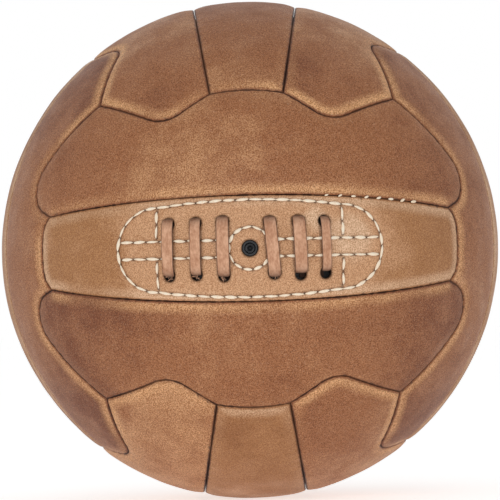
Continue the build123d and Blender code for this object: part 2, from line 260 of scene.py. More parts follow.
def band_end(seam, count=48):
    """The band's end between two joints: nearly straight, with rounded corners."""
    joint_x, joint_y = on_edge(*joint_angles)
    rise = on_edge(0, seam["crown"])[1] - joint_y
    line = []
    for n in range(count + 1):
        share = sin(pi / 2 * (1 - 2 * n / count))
        line.append((joint_x * share, joint_y + rise * (1 - abs(share) ** seam["squareness"])))
    return line


def edge_line(long_face, end_face, points):
    """Points of an edge plane carried to the ball; their height leans to the long face."""
    out = (long_face + end_face).normalized()
    up = (long_face - end_face).normalized()
    along = up.cross(out)
    return [(out + along * x + up * y).normalized() for x, y in points]


def from_start(line, start):
    """The line, turned round if it doesn't begin nearest to start."""
    return line if (line[0] - start).length < (line[-1] - start).length else line[::-1]


def cusped_seam(long_face, end_face, seam):
    """The whole seam along an edge of the ball, with a cusp on either side of a band's end."""
    half = half_seam(seam)
    other_half = [(-x, y) for x, y in reversed(half)]
    return edge_line(long_face, end_face, half + band_end(seam)[1:-1] + other_half)


def strip_end(side, seam):
    """The seam at one end of the front's upper strip, from the ball's corner to the joint."""
    half = half_seam(seam)
    lines = [edge_line(side, front, points) for points in (half, [(-x, y) for x, y in half])]
    return max(lines, key=lambda line: line[0].z)


joint_place = strip_end(left, plain_seam)[-1]


def strip_seam(upper, count=60):
    """The seam between band and side strip, in a plane that leans a little outwards."""
    crown = Vector((0, -sqrt(1 - band_half_width**2), band_half_width))
    joint = Vector((0, joint_place.y, joint_place.z))
    lean = (joint - crown).normalized()
    normal = right.cross(lean)
    middle = normal * crown.dot(normal)
    radius = (crown - middle).length
    towards = (crown - middle).normalized()
    swing = atan2(abs(joint_place.x), (joint_place - middle).dot(towards))
    points = []
    for n in range(count + 1):
        angle = swing * (2 * n / count - 1)
        point = middle + (towards * cos(angle) + right * sin(angle)) * radius
        points.append(point if upper else Vector((point.x, point.y, -point.z)))
    return points


# ---- finishes
def tone(red, green, blue):
    """A colour given in everyday 0-255 steps, as the light values the materials need."""
    steps = [step / 255 for step in (red, green, blue)]
    light = [step / 12.92 if step < 0.04045 else ((step + 0.055) / 1.055) ** 2.4 for step in steps]
    return (*light, 1.0)


def add(tree, kind, inputs=None, **settings):
    """Adds a shader node; inputs are values or other nodes' outputs."""
    made = tree.nodes.new(kind)
    for name, value in settings.items():
        setattr(made, name, value)
    for name, value in (inputs or {}).items():
        if isinstance(value, bpy.types.NodeSocket):
            tree.links.new(value, made.inputs[name])
        else:
            made.inputs[name].default_value = value
    return made


def own(tree, name):
    """A value that the piece's own mesh carries."""
    return add(tree, "ShaderNodeAttribute", attribute_name=name).outputs["Fac"]


def spots(tree, place, scale, detail=2.0, rough=0.5, warp=0.0):
    """Soft cloudy pattern; the scale is in patches per metre."""
    made = add(tree, "ShaderNodeTexNoise", {"Vector": place, "Scale": scale, "Detail": detail,
                                            "Roughness": rough, "Distortion": warp})
    return made.outputs["Fac"]


def ramp(tree, value, start, end, low=0.0, high=1.0):
    """Goes softly from low to high while a value goes from start to end."""
    made = add(tree, "ShaderNodeMapRange", {"Value": value, "From Min": start, "From Max": end,
                                            "To Min": low, "To Max": high})
    made.interpolation_type = "SMOOTHSTEP"
    return made.outputs["Result"]


def math(tree, operation, one, other):
    """Works out two values or nodes' outputs together."""
    return add(tree, "ShaderNodeMath", {0: one, 1: other}, operation=operation).outputs[0]


def plus(tree, one, other):
    return math(tree, "ADD", one, other)


def times(tree, one, other):
    return math(tree, "MULTIPLY", one, other)


def blend(tree, share, one, other, kind="MIX"):
    """Mixes a share of the other colour into the first."""
    colours = {0: share, 6: one, 7: other}
    return add(tree, "ShaderNodeMix", colours, data_type="RGBA", blend_type=kind).outputs[2]


def new_look(title, colours, numbers=()):
    """A group of nodes that makes a colour, a roughness and a height from what it is given."""
    tree = bpy.data.node_groups.new(title, "ShaderNodeTree")
    for names, way, kind in ((colours, "INPUT", "Color"), (numbers, "INPUT", "Float"),
                             (("Colour",), "OUTPUT", "Color"),
                             (("Roughness", "Height"), "OUTPUT", "Float")):
        for name in names:
            tree.interface.new_socket(name, in_out=way, socket_type=f"NodeSocket{kind}")
    given = tree.nodes.new("NodeGroupInput").outputs
    result = tree.nodes.new("NodeGroupOutput").inputs
    return tree, given, result, tree.nodes.new("ShaderNodeTexCoord").outputs["Object"]


# how far the grain darkens and lightens each part of the leather's colour about its level
grain_level = 0.97
grain_swing = (("Red", 0.43), ("Green", 0.6), ("Blue", 0.78))


def leather_look():
    """Old vegetable-tanned leather: mottled, paler where it is rubbed and where a highlight is
    painted, dark in its seams, with painted shade beside them.

    Each panel carries the distance to its seams in millimetres (seam), how far it has darkened,
    less where a highlight or sheen is painted on the window (age_and_highlight), how pale its edges
    are, by rubbing and by a painted highlight on the seams' crowns (rub_and_highlight), and where
    it is
    marked dark: pricks of the hidden stitches, and painted shade round the thread, the holes and
    the lace's bars (mark).
    """
    colours = ("Rubbed", "Pale", "Middle", "Deep")
    tree, given, result, place = new_look("worn leather", colours, ("Grain",))
    seam, age_and_highlight, mark, rub_and_highlight = [own(tree, name) for name in ("seam", "age_and_highlight", "mark", "rub_and_highlight")]

    blotch = spots(tree, place, 17.0, 2.0, 0.5, 0.3)
    mottle = spots(tree, place, 70.0, 4.0, 0.62)
    fleck = spots(tree, place, 2400.0, 1.0, 0.6)
    pores = add(tree, "ShaderNodeTexVoronoi", {"Vector": place, "Scale": 1700.0, "Randomness": 1.0},
                feature="F1").outputs["Distance"]
    depth = plus(tree, age_and_highlight, ramp(tree, blotch, 0.25, 0.75, -0.15, 0.15))
    depth = plus(tree, depth, ramp(tree, mottle, 0.2, 0.8, -0.16, 0.16))
    body = blend(tree, ramp(tree, depth, 0.0, 0.5), given["Pale"], given["Middle"])
    body = blend(tree, ramp(tree, depth, 0.5, 1.0), body, given["Deep"])
    # where the painted highlight and sheen of the window pale the leather far enough, it turns to
    # the rubbed-and-lit colour
    body = blend(tree, ramp(tree, depth, -0.25, -0.9), body, given["Rubbed"])

    # a pale band a little in from each seam: rubbed wear, and a painted highlight where the
    # leather's roll catches the light
    rubbed_and_lit = times(tree, ramp(tree, seam, 0.5, 1.5), ramp(tree, seam, 6.5, 1.9))
    rubbed_and_lit = times(tree, rubbed_and_lit, rub_and_highlight)
    patchy = ramp(tree, spots(tree, place, 28.0, 2.0), 0.38, 0.62, 0.2, 0.75)
    body = blend(tree, times(tree, rubbed_and_lit, patchy), body, given["Rubbed"])
    pitted = plus(tree, fleck, times(tree, pores, 0.35))
    shades = {
        part: ramp(tree, pitted, 0.42, 0.92, grain_level - swing, grain_level + swing)
        for part, swing in grain_swing
    }
    shade = add(tree, "ShaderNodeCombineColor", shades).outputs[0]
    grained = blend(tree, 1.0, body, shade, "MULTIPLY")
    glint = ramp(tree, spots(tree, place, 2200.0, 1.0), 0.55, 0.8, 0.0, 0.26)
    grained = blend(tree, glint, grained, tone(236, 208, 178))
    body = blend(tree, given["Grain"], body, grained)

    uneven = spots(tree, place, 520.0, 1.0)
    wavy = plus(tree, seam, ramp(tree, uneven, 0.3, 0.7, -0.14, 0.14))
    wavy = math(tree, "SUBTRACT", wavy, ramp(tree, rub_and_highlight, 1.0, 0.2, 0.0, 0.35))
    dirt = ramp(tree, spots(tree, place, 34.0, 2.0), 0.38, 0.6, 0.6, 1.0)
    # painted shade beside each seam, where the leather dips into it
    body = blend(tree, ramp(tree, seam, 1.4, 0.3, 0.0, 0.3), body, given["Deep"])
    dirt = times(tree, ramp(tree, wavy, 0.5, 0.2), dirt)
    body = blend(tree, dirt, body, tone(66, 34, 18))
    # dark marks: pricks of the hidden stitches, and painted shade round the thread, the holes and
    # the lace's bars
    body = blend(tree, mark, body, tone(52, 32, 22))
    tree.links.new(body, result["Colour"])

    sheen = plus(tree, mottle, times(tree, fleck, 0.5))
    tree.links.new(ramp(tree, sheen, 0.4, 1.1, 0.46, 0.64), result["Roughness"])
    height = times(tree, fleck, 0.6)
    height = plus(tree, height, times(tree, pores, 0.5))
    height = plus(tree, height, times(tree, spots(tree, place, 420.0, 3.0), 0.9))
    tree.links.new(height, result["Height"])
    return tree


def coated(name, look, bump, strength=0.6, sheen=0.5, **given):
    """A material whose colour, roughness and grain come from a shared look."""
    material = bpy.data.materials.new(name)
    material.use_nodes = True
    tree = material.node_tree
    skin = tree.nodes["Principled BSDF"]
    skin.inputs["Specular IOR Level"].default_value = sheen
    group = add(tree, "ShaderNodeGroup", node_tree=look)
    for socket, value in given.items():
        group.inputs[socket].default_value = tone(*value) if isinstance(value, tuple) else value
    tree.links.new(group.outputs["Colour"], skin.inputs["Base Color"])
    tree.links.new(group.outputs["Roughness"], skin.inputs["Roughness"])
    relief = add(tree, "ShaderNodeBump", {"Height": group.outputs["Height"], "Strength": strength,
                                          "Distance": bump})
    tree.links.new(relief.outputs["Normal"], skin.inputs["Normal"])
    return material


def plain_look(title, size, stretch=(1.0, 1.0, 1.0), fine=6.0, rough=(0.7, 0.9), marked=False):
    """Two colours clouded together with a finer grain: cloth, suede, thread or rubber."""
    tree, given, result, place = new_look(title, ("Pale", "Deep"))
    place = add(tree, "ShaderNodeMapping", {"Vector": place, "Scale": stretch}).outputs[0]
    broad = spots(tree, place, size, 3.0, 0.6)
    grain = spots(tree, place, size * fine, 3.0, 0.7)
    share = plus(tree, times(tree, ramp(tree, broad, 0.3, 0.7), 0.6),
                 times(tree, ramp(tree, grain, 0.3, 0.7), 0.4))
    body = blend(tree, share, given["Pale"], given["Deep"])
    if marked:
        # painted shade on the lace's edges and where it dips into its holes
        body = blend(tree, own(tree, "mark"), body, tone(58, 34, 22))
    tree.links.new(body, result["Colour"])
    tree.links.new(ramp(tree, grain, 0.3, 0.7, *rough), result["Roughness"])
    tree.links.new(grain, result["Height"])
    return tree


leather = leather_look()
suede = plain_look("suede", 260.0, (1.0, 1.0, 0.5))
marked_suede = plain_look("darkened suede", 320.0, (1.0, 1.0, 0.5), 4.0, marked=True)
cloth = plain_look("matted cloth", 180.0)
cotton = plain_look("twisted cotton", 900.0, fine=2.5)
moulded = plain_look("moulded rubber", 420.0, fine=2.5, rough=(0.34, 0.7))
finishes = {
    "band_leather": coated(
        "band leather", leather, 0.15 * mm, sheen=0.3, Grain=0.7, Rubbed=(218, 176, 140),
        Pale=(200, 150, 110), Middle=(170, 118, 75), Deep=(142, 90, 52)),
    "strip_leather": coated(
        "strip leather", leather, 0.15 * mm, sheen=0.3, Grain=1.0, Rubbed=(212, 158, 110),
        Pale=(192, 139, 96), Middle=(156, 100, 63), Deep=(119, 67, 40)),
    "lace_leather": coated(
        "lace suede", marked_suede, 0.2 * mm, Pale=(224, 175, 142), Deep=(180, 126, 93)),
    # near black: painted shade at the bottom of the lace's holes
    "patch_leather": coated(
        "patch leather", suede, 0.15 * mm, Pale=(72, 48, 32), Deep=(48, 32, 22)),
    "felt": coated("wool felt", cloth, 0.3 * mm, Pale=(190, 184, 170), Deep=(150, 144, 130)),
    "thread": coated(
        "waxed thread", cotton, 0.15 * mm, Pale=(255, 246, 226), Deep=(252, 226, 194)),
    "bladder_rubber": coated(
        "bladder rubber", moulded, 0.05 * mm, Pale=(34, 32, 31), Deep=(20, 19, 19)),
    "valve_rubber": coated(
        "valve rubber", moulded, 0.35 * mm, strength=1.0, Pale=(24, 26, 30), Deep=(6, 7, 9)),
}


# ---- panels
face_cycle = (("front", "back"), ("left", "right"), ("bottom", "top"))
strip_names = {
    "front": ("upper", "lower"), "back": ("upper", "lower"), "left": ("rear", "front"),
    "right": ("rear", "front"), "bottom": ("right", "left"), "top": ("right", "left"),
}


def face_turn(face, low_side=False):
    """Turn that carries a piece of the front's upper half to the same place on another face."""
    turn = Matrix.Rotation(pi, 3, "Y") if low_side else Matrix.Identity(3)
    for step, pair in enumerate(face_cycle):
        if face in pair:
            turn = Matrix.Rotation(pi, 3, "Z") @ turn if face == pair[1] else turn
            return Matrix.Rotation(-2 * pi / 3 * step, 3, Vector((1, 1, 1))) @ turn


def spaced(length, cell):
    """Shares of a length a cell apart, and closer together near its two ends."""
    places = [0.0]
    while places[-1] < length:
        from_end = min(places[-1], length - places[-1])
        widening = soft_step(0, seam_border, from_end)
        places.append(places[-1] + seam_cell + (cell - seam_cell) * widening)
    return [place / places[-1] for place in places]


def line_length(line):
    """Length over the leather, in metres, of a line of directions."""
    return sum((one - other).length for one, other in zip(line, line[1:])) * ball


def at_share(line, share):
    """A point of an evenly stepped line."""
    place = share * (len(line) - 1)
    step = min(int(place), len(line) - 2)
    return line[step].lerp(line[step + 1], place - step)


side_steps = 400  # points on each edge of a panel
sample_step = 0.25 * mm  # and between the points that distances to a seam are taken from
sharp_corner = radians(12)


def patch(sides, columns, rows, gather):
    """A curved four-sided grid on the ball between its lower, upper, left and right edges.

    gather below 1 draws the grid's columns together in the middle of the lower edge.
    """
    low, high, west, east = [even(side, side_steps) for side in sides]
    bm = bmesh.new()
    for name in ("seam", "along", "mark", "age_and_highlight", "rub_and_highlight"):
        bm.verts.layers.float.new(name)
    bmesh.ops.create_grid(bm, x_segments=len(columns) - 1, y_segments=len(rows) - 1, size=0.5)
    grid = {}
    for vert in bm.verts:
        column = round((vert.co.x + 0.5) * (len(columns) - 1))
        row = round((vert.co.y + 0.5) * (len(rows) - 1))
        grid[column, row] = vert
        s, t = columns[column], rows[row]
        off = s - 0.5
        along = at_share(low, 0.5 + off * (gather + (1 - gather) * (2 * abs(off)) ** 2)) * (1 - t)
        along += at_share(high, s) * t
        west_bow = at_share(west, t) - low[0] * (1 - t) - high[0] * t
        east_bow = at_share(east, t) - low[-1] * (1 - t) - high[-1] * t
        vert.co = (along + west_bow * (1 - s) ** 3 + east_bow * s**3).normalized() * ball
    return bm, grid


def keep_corners(grid, sides):
    """Moves the edge places nearest to a seam's sharp corners onto them."""
    rim = [vert for vert in grid.values() if vert.is_boundary]
    for side in sides:
        for one, point, other in zip(side, side[1:], side[2:]):
            if (point - one).angle(other - point) > sharp_corner:
                nearest = min(rim, key=lambda vert: (vert.co - point * ball).length)
                nearest.co = point * ball


def search_tree(points):
    """Finds the nearest of some points."""
    tree = KDTree(len(points))
    for index, point in enumerate(points):
        tree.insert(point, index)
    tree.balance()
    return tree


def seam_samples(sides):
    """A search tree of points on the panel's seams, with how far along its seam each lies."""
    points = []
    for side in sides:
        length = line_length(side)
        count = int(length / sample_step)
        points += [(point * ball, length * n / count) for n, point in enumerate(even(side, count))]
    places = [place for point, place in points]
    return search_tree([point for point, place in points]), places


def wrinkle(point, seed):
    """Slow dents and finer creases of old, much handled leather, in metres."""
    place = point * (1 / ball) + Vector((seed * 3.7, seed * 1.3, seed * 2.1))
    dents = sum(noise.noise(place * often) * high for often, high in (slow_dents, small_dents))
    often, high = fine_creases
    creases = noise.ridged_multi_fractal(place * often, 1.0, 2.1, 4, 1.0, 2.0)
    return (dents + high * (creases - 1.4)) * mm


def draw_in(seam, place, seed):
    """How far the leather is drawn in beside a seam, with a pucker at each hidden stitch."""
    distance = seam / mm
    valley = fade(distance, *seam_crease) + fade(distance, *seam_slope)
    beat = cos(2 * pi * place / seam_stitch_pitch + seed)
    uneven = 0.6 + 0.8 * noise.noise(Vector((place / mm / 9, seed * 5.1, 0)))
    pucker = fade(distance, *seam_pucker) * (1 - fade(distance, *pucker_start))
    return (valley + pucker * beat * uneven) * mm


def pricks(seam, place, seed):
    """Small dark marks where the hidden stitches pull at the leather beside a seam."""
    beat = max(0.0, cos(2 * pi * place / seam_stitch_pitch + seed)) ** 6
    some = soft_step(-0.05, 0.35, noise.noise(Vector((place / mm / 14, seed * 3.3, 4.0))))
    return beat * some * fade(seam / mm - prick_place, *prick_stain)


towards_ends = (0.25, 0.75)  # where along the ball's radius a panel changes to its ends' look
rub_and_highlight_change = 1.5 * mm  # half the width over which one kind of rubbing and painted highlight changes to another
turned_within = 0.5  # edges within these millimetres of a seam are turned in


def turn_down(bm, edges, depth):
    """Turns edges of the leather straight inwards, down to a depth; gives the new places."""
    made = bmesh.ops.extrude_edge_only(bm, edges=edges)["geom"]
    turned = [item for item in made if isinstance(item, bmesh.types.BMVert)]
    for vert in turned:
        vert.co = vert.co.normalized() * (ball - depth)
    return turned


def panel(name, slot, sides, turn, seed, cell=panel_cell, dress=None):
    """A leather panel over its CAD solid: crowned, drawn in at its seams, its edges turned in."""
    age_and_highlight, age_at_ends, rub_and_highlight_inside, rub_and_highlight_outside = wear_and_highlight.get(name, usual_wear_and_highlight)
    # both long seams of a band are inside its own face, but only the lower one of a side strip
    shared, gather = (2, 1.0) if name.endswith("band") else (1, 0.5)
    low, high, west, east = [line_length(side) for side in sides]
    bm, grid = patch(sides, spaced((low + high) / 2, cell), spaced(max(west, east), cell), gather)
    keep_corners(grid, sides)
    seam_layer, along_layer, mark_layer, age_and_highlight_layer, rub_and_highlight_layer = bm.verts.layers.float.values()
    searches = [seam_samples(part) for part in (sides[:shared], sides[shared:])]
    rim = [vert for vert in bm.verts if vert.is_boundary]
    for vert in rim:
        inner = [edge.other_vert(vert) for edge in vert.link_edges]
        towards = sum((other.co for other in inner if not other.is_boundary), Vector())
        if towards.length:
            vert.co += (towards.normalized() * ball - vert.co).normalized() * seam_slack
    for vert in bm.verts:
        within, around = [(*tree.find(vert.co)[1:], places) for tree, places in searches]
        index, distance, places = min(within, around, key=lambda found: found[1])
        vert[seam_layer] = distance / mm
        vert[along_layer] = places[index] / mm
        vert[age_and_highlight_layer] = age_and_highlight + age_at_ends * soft_step(*towards_ends, abs(vert.co.x) / ball)
        outward = soft_step(-rub_and_highlight_change, rub_and_highlight_change, within[1] - around[1])
        vert[rub_and_highlight_layer] = rub_and_highlight_inside + (rub_and_highlight_outside - rub_and_highlight_inside) * outward
    if dress:
        dress(bm, grid, mark_layer, age_and_highlight_layer)
    for vert in bm.verts:
        out = vert.co.normalized()
        distance = vert[seam_layer] * mm
        depth = draw_in(distance, vert[along_layer] * mm, seed)
        dent = wrinkle(turn @ out * ball, seed) * soft_step(0, dents_grow_over, distance)
        vert[mark_layer] = max(vert[mark_layer], pricks(distance, vert[along_layer] * mm, seed))
        vert.co = vert.co - out * (depth - dent)
    rim = [edge for edge in bm.edges
           if edge.is_boundary and edge.verts[0][seam_layer] < turned_within]
    turn_down(bm, rim, flange_depth)
    bmesh.ops.recalc_face_normals(bm, faces=bm.faces)
    if sum(face.normal.dot(face.calc_center_median()) for face in bm.faces) < 0:
        bmesh.ops.reverse_faces(bm, faces=bm.faces)
    bmesh.ops.transform(bm, matrix=turn.to_4x4(), verts=bm.verts)
    piece = finished(bm, f"leather_{name}", slot, f"panel_{name}")
    wall = piece.modifiers.new("wall", "SOLIDIFY")
    wall.thickness = leather_thickness
    wall.offset = -1
    return piece


def placed(name, data):
    """Puts a mesh, a lamp or the camera into the scene."""
    made = bpy.data.objects.new(name, data)
    scene.collection.objects.link(made)
    return made


def finished(bm, name, slot, *replaced):
    """Makes an object of a mesh, smooth, riding on the ball and standing for its CAD nodes."""
    mesh = bpy.data.meshes.new(name)
    bm.to_mesh(mesh)
    bm.free()
    mesh.shade_smooth()
    piece = placed(name, mesh)
    piece.data.materials.append(finishes[slot])
    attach(piece, "root")
    if replaced:
        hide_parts(*replaced)
    return piece


# ---- laced window
def walk(line, pitch):
    """Even places along a line on the unrolled leather, each with its direction."""
    steps = [hypot(b[0] - a[0], b[1] - a[1]) for a, b in zip(line, line[1:])]
    count = max(1, round(sum(steps) / pitch))
    places = []
    for n in range(count):
        goal = sum(steps) * (n + 0.5) / count
        at = 0
        while at < len(steps) - 1 and goal > steps[at]:
            goal -= steps[at]
            at += 1
        (ax, ay), (bx, by) = line[at], line[at + 1]
        share = goal / steps[at]
        places.append((ax + (bx - ax) * share, ay + (by - ay) * share, atan2(by - ay, bx - ax)))
    return places


window_steps = 60  # of a curved line of the sewing
sewing_sample = 0.5 * mm  # between the points that distances to the sewing are taken from
hole_share = 0.88  # half side of the square taken out for a hole, against its radius
shoulders = [(across * column_place, up * outline_shoulder)
             for across, up in ((-1, 1), (1, 1), (1, -1), (-1, -1))]
crowns = [(0, outline_crown), (outline_half_length, 0),
          (0, -outline_crown), (-outline_half_length, 0)]
outline_lines = [
    arc(start, crown, end, window_steps)
    for start, crown, end in zip(shoulders, crowns, shoulders[1:] + shoulders[:1])
]
quarters = [(across, up) for across in (1, -1) for up in (1, -1)]
row_ends = (sqrt(ring_radius**2 - row_place**2) + row_gaps[0], outline_half_length - row_gaps[1])
row_lines = [[(across * x, up * row_place) for x in row_ends] for across, up in quarters]
column_ends = (row_place + column_gap, outline_shoulder - column_gap)
column_lines = [[(across * column_place, up * y) for y in column_ends] for across, up in quarters]
ring_turns = [2 * pi * n / window_steps for n in range(window_steps + 1)]
ring_line = [(ring_radius * cos(turn), ring_radius * sin(turn)) for turn in ring_turns]
sewing = {
    "outline_stitching": (outline_lines, *long_stitch),
    "row_stitching": (row_lines, *long_stitch),
    "column_stitching": (column_lines, *column_stitch),
    "valve_ring_stitching": ([ring_line], *ring_stitch),
}


def across_at(bar, up):
    """How far sideways a leaning bar of the lace lies at a height."""
    return bar.across - up * tan(radians(bar.lean))


def bar_ends():
    """Where each bar of the lace dips in at its top and bottom."""
    for bar in lace_bars:
        for up in (bar.high_hole, bar.low_hole):
            yield across_at(bar, up), up


def open_hole(grid, cx, cy, radius):
    """Bends the square grid to a round hole; gives the places on its lip and those inside it."""
    def off_middle(key):
        x, y = unrolled(grid[key].co)
        return hypot(x - cx, y - cy)

    column, row = min(grid, key=off_middle)
    step = (grid[column + 1, row].co - grid[column, row].co).length
    cells = max(2, round(radius * hole_share / step))
    reach = 2 * cells
    lip = []
    doomed = []
    moved = []
    for i in range(-reach, reach + 1):
        for j in range(-reach, reach + 1):
            vert = grid[column + i, row + j]
            ring = max(abs(i), abs(j))
            if ring < cells:
                doomed.append(vert)
                continue
            if abs(i) == ring:
                turn = pi / 4 * j / i + (pi if i < 0 else 0)
            else:
                turn = pi / 2 - pi / 4 * i / j + (pi if j < 0 else 0)
            share = (ring - cells) / (reach - cells)
            x, y = unrolled(vert.co)
            off = radius * ring / cells
            x += (cx + off * cos(turn) - x) * (1 - share) ** 1.5
            y += (cy + off * sin(turn) - y) * (1 - share) ** 1.5
            moved.append((vert, x, y))
            if ring == cells:
                lip.append(vert)
    for vert, x, y in moved:
        vert.co = on_front(x, y, vert.co.length - ball)
    return lip, doomed


def beside_bars(x, y):
    """Painted shadow on the leather beside the long edges of the lace's bars: how dark it is at a
    place.
    """
    dark = 0.0
    for bar in lace_bars:
        if bar.low < y < bar.high:
            off = abs(x - across_at(bar, y)) - bar.width / 2
            dark = max(dark, fade(off / mm, *bar_shadow))
    return dark


def dress_window(bm, grid, mark_layer, age_and_highlight_layer):
    """Draws the leather in along the sewing and opens the holes for the lace and the valve."""
    sewn = []
    holes = []
    for lines, pitch, length in sewing.values():
        for line in lines:
            sewn += [(x, y, 0) for x, y, way in walk(line, sewing_sample)]
            for x, y, way in walk(line, pitch):
                for half in (-length / 2, length / 2):
                    holes.append((x + half * cos(way), y + half * sin(way), 0))
    line_tree, hole_tree = search_tree(sewn), search_tree(holes)
    openings = [(x, y, lace_hole) for x, y in bar_ends()] + [(0, 0, valve_hole)]
    lips, middles = zip(*[open_hole(grid, *opening) for opening in openings])
    bmesh.ops.delete(bm, geom=sum(middles, []), context="VERTS")
    for vert in bm.verts:
        x, y = unrolled(vert.co)
        past_ends = abs(x) - outline_half_length
        if past_ends > window_reach:
            continue
        near_line = line_tree.find((x, y, 0))[2] / mm
        near_hole = hole_tree.find((x, y, 0))[2] / mm
        depth = fade(near_line, *sewing_furrow) + fade(near_hole, *stitch_hole)
        # painted shade round the stitches and along the sewing, and painted shadow beside the
        # lace's bars
        mark = fade(near_hole, *stitch_hole_shade) + fade(near_line, *sewing_shade)
        mark = max(mark, beside_bars(x, y))
        # painted highlight over the middle of the window, and the pale spots, one of them a painted
        # sheen
        vert[age_and_highlight_layer] -= window_highlight * soft_step(pale_start, pale_end, past_ends)
        for cx, cy, radius in pale_and_sheen_spots:
            vert[age_and_highlight_layer] -= fade(hypot(x - cx, y - cy), 1.0, radius)
        for cx, cy, radius in openings:
            past = (hypot(x - cx, y - cy) - radius) / mm
            if past < opening_reach:
                depth += fade(max(past, 0), *opening_edge)
                depth -= fade(past - opening_roll_place, *opening_roll)
                # painted shade round the hole's rim
                mark = max(mark, fade(max(past, 0), *opening_shade))
        vert.co -= vert.co.normalized() * depth * mm
        vert[mark_layer] = mark
    for lip in lips:
        ring = set(lip)
        edges = {edge for vert in lip for edge in vert.link_edges if edge.is_boundary}
        edges = [edge for edge in edges if edge.verts[0] in ring and edge.verts[1] in ring]
        # the holes' walls are painted fully dark, as shade
        for vert in turn_down(bm, edges, lip_depth):
            vert[mark_layer] = 1.0


def stitch_row(name, lines, pitch, length, seed):
    """One thread's visible stitches: plump lenses that dip into the leather at both ends."""
    noise.seed_set(seed)
    bm = bmesh.new()
    for line in lines:
        for x, y, way in walk(line, pitch):
            wobble = noise.random_unit_vector() * 0.5
            shape = bmesh.ops.create_uvsphere(bm, u_segments=8, v_segments=10, radius=1.0)["verts"]
            half = length / 2 * (1.05 + 0.24 * wobble.x)
            wide = stitch_half_width * (1 + 0.5 * wobble.y)
            spin = Matrix.Rotation(way + 0.16 * wobble.z, 3, "Z")
            for vert in shape:
                share = vert.co.z
                fat = 1 - 0.35 * share**2
                high = vert.co.y * stitch_half_height * fat + stitch_rise - stitch_dip * share**4
                spun = spin @ Vector((share * half, vert.co.x * wide * fat, high))
                vert.co = on_front(x + spun.x, y + spun.y, spun.z)
    return finished(bm, f"thread_{name}", "thread", name)


strap_steps = 8  # between two places of a strap
flat_power, edge_power = 0.55, 0.75  # how squarely its section is rounded
edge_shade, shaded_from = 0.95, 0.84  # painted shade along its edges: how dark, and from which share


def strap(bm, keys, thickness, segments=28):
    """A flat strap with soft edges, through places with a side's direction, width and darkness."""
    count = (len(keys) - 1) * strap_steps
    mark_layer = bm.verts.layers.float.get("mark")
    made = bmesh.ops.create_grid(bm, x_segments=segments, y_segments=count, size=0.5)["verts"]
    frames = []
    for n in range(count + 1):
        place = n / count * (len(keys) - 1)
        at = min(int(place), len(keys) - 2)
        share = place - at
        four = [keys[clamp(at + k, 0, len(keys) - 1)] for k in (-1, 0, 1, 2)]
        frames.append([smooth_between([key[part] for key in four], share) for part in range(4)])
    for vert in made:
        turn = (vert.co.x + 0.5) * 2 * pi
        n = round((vert.co.y + 0.5) * count)
        middle, side, width, dark = frames[n]
        ahead = frames[min(n + 1, count)][0] - frames[max(n - 1, 0)][0]
        side = (side - ahead.normalized() * side.dot(ahead.normalized())).normalized()
        flat_way = ahead.cross(side).normalized()
        c, s = cos(turn), sin(turn)
        from_middle = abs(c) ** flat_power
        wide = copysign(from_middle, c) * width / 2
        thick = copysign(abs(s) ** edge_power, s) * thickness / 2
        vert.co = middle + side * wide + flat_way * thick
        # painted shade along the strap's edges
        painted_edge_shade = edge_shade * soft_step(shaded_from, 1.0, from_middle)
        vert[mark_layer] = clamp(max(dark, painted_edge_shade))
    bmesh.ops.remove_doubles(bm, verts=made, dist=0.01 * mm)


def smooth_between(four, share):
    """A smooth curve through the two middle ones of four values."""
    a, b, c, d = four
    return (b * 2 + (c - a) * share + (a * 2 - b * 5 + c * 4 - d) * share**2
            + (b * 3 - a - c * 3 + d) * share**3) * 0.5


# a bar's middle and its way into its hole: share of its half length, height over the leather in
# millimetres, share of its width and how dark the suede is there, a painted shade where it bends
# down into the hole
strap_middle = (0.0, 1.4, 1.04, 0.0)
strap_path = ((0.965, -3.6, 0.7, 1.0), (1.0, -1.9, 0.78, 1.0), (0.99, -0.6, 0.86, 0.85),
              (0.92, 0.45, 0.96, 0.5), (0.8, 1.05, 1.0, 0.18), (0.55, 1.3, 1.0, 0.0))


def frayed_end(bm, across, up):
    """A tuft of short fibres where a bar of the lace goes down into its hole."""
    mark_layer = bm.verts.layers.float.get("mark")
    for _ in range(fibre_count):
        way, off = noise.random_unit_vector(), noise.random_unit_vector()
        flat_way = Vector((way.x, way.y, 0)).normalized()
        flat_side = Vector((-flat_way.y, flat_way.x, 0))
        dark = abs(way.z) * 0.8
        made = bmesh.ops.create_uvsphere(bm, u_segments=6, v_segments=5, radius=1.0)["verts"]
        for vert in made:
            wide, thick, long = [local * half for local, half in zip(vert.co, fibre_half_sizes)]
            lying = off * tuft_spread + flat_way * long + flat_side * wide
            height = off.z * tuft_height + thick - fibre_depth
            vert.co = on_front(across + lying.x, up + lying.y, height)
            vert[mark_layer] = dark


